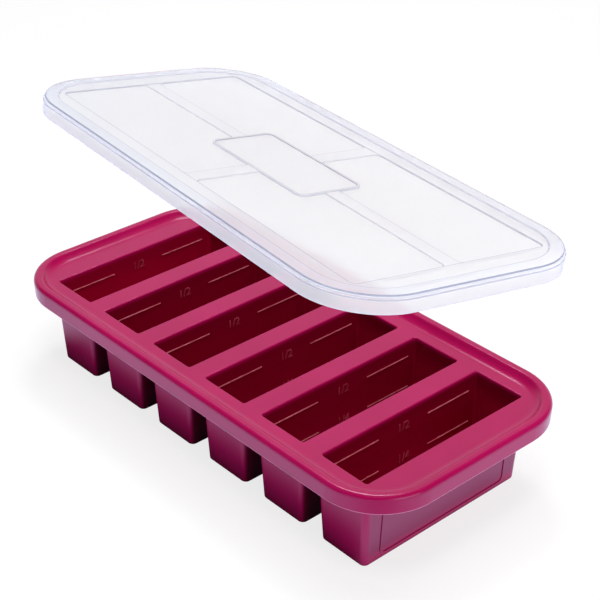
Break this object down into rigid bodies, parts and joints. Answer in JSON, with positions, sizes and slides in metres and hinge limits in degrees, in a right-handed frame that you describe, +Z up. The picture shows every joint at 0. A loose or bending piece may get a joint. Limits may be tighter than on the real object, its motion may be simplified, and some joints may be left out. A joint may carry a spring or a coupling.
{
  "type": "silicone freezer tray with lid",
  "caption": "Silicone freezer tray: a row of drafted portion cups under a deck with a raised, wire-stiffened rim, and a clear press-on lid, held lifted off.",
  "frame": {"origin": "middle of the tray's base, on the plane that the cups stand on", "axes": "+X along the tray towards the end with the plain frame, +Y across it, +Z up"},
  "size_m": [0.3148, 0.1753, 0.1636],
  "materials": {
    "silicone": "satin",
    "wire_steel": "drawn",
    "clear_plastic": "clear, slightly milky"
  },
  "bodies": {
    "tray": {"tray": "silicone", "rim_wire": "wire_steel"},
    "lid": {"lid": "clear_plastic"}
  },
  "joints": [
    {"name": "lid_lift", "type": "slide", "parent": "tray", "child": "lid", "axis": [0, 0, 1], "range_m": [-0.077, 0.06]}
  ]
}
